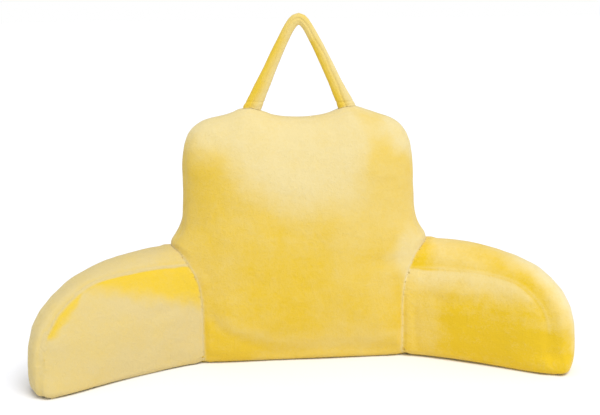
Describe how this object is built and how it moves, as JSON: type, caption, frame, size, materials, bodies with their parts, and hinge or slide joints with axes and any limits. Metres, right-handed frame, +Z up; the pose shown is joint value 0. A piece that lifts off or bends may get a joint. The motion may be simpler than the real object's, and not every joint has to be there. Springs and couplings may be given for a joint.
{
  "type": "reading pillow",
  "caption": "Plush backrest cushion for sitting up in bed, with splayed D-shaped padded arms at its sides and a soft carrying handle on its top edge",
  "frame": {"origin": "middle of the footprint, on the surface that the pillow stands on", "axes": "+X across the pillow to the right as seen by someone facing the sitter's side, +Y from the sitter's side to the back, +Z up"},
  "size_m": [0.9758, 0.3212, 0.6405],
  "materials": {
    "plush": "short yellow plush with a brushed nap that reads pale or deep with its lie",
    "handle_plush": "the same plush folded into a soft tube"
  },
  "bodies": {
    "root": {"backrest": "plush", "arm_left": "plush", "arm_right": "plush", "handle": "handle_plush"}
  },
  "joints": []
}
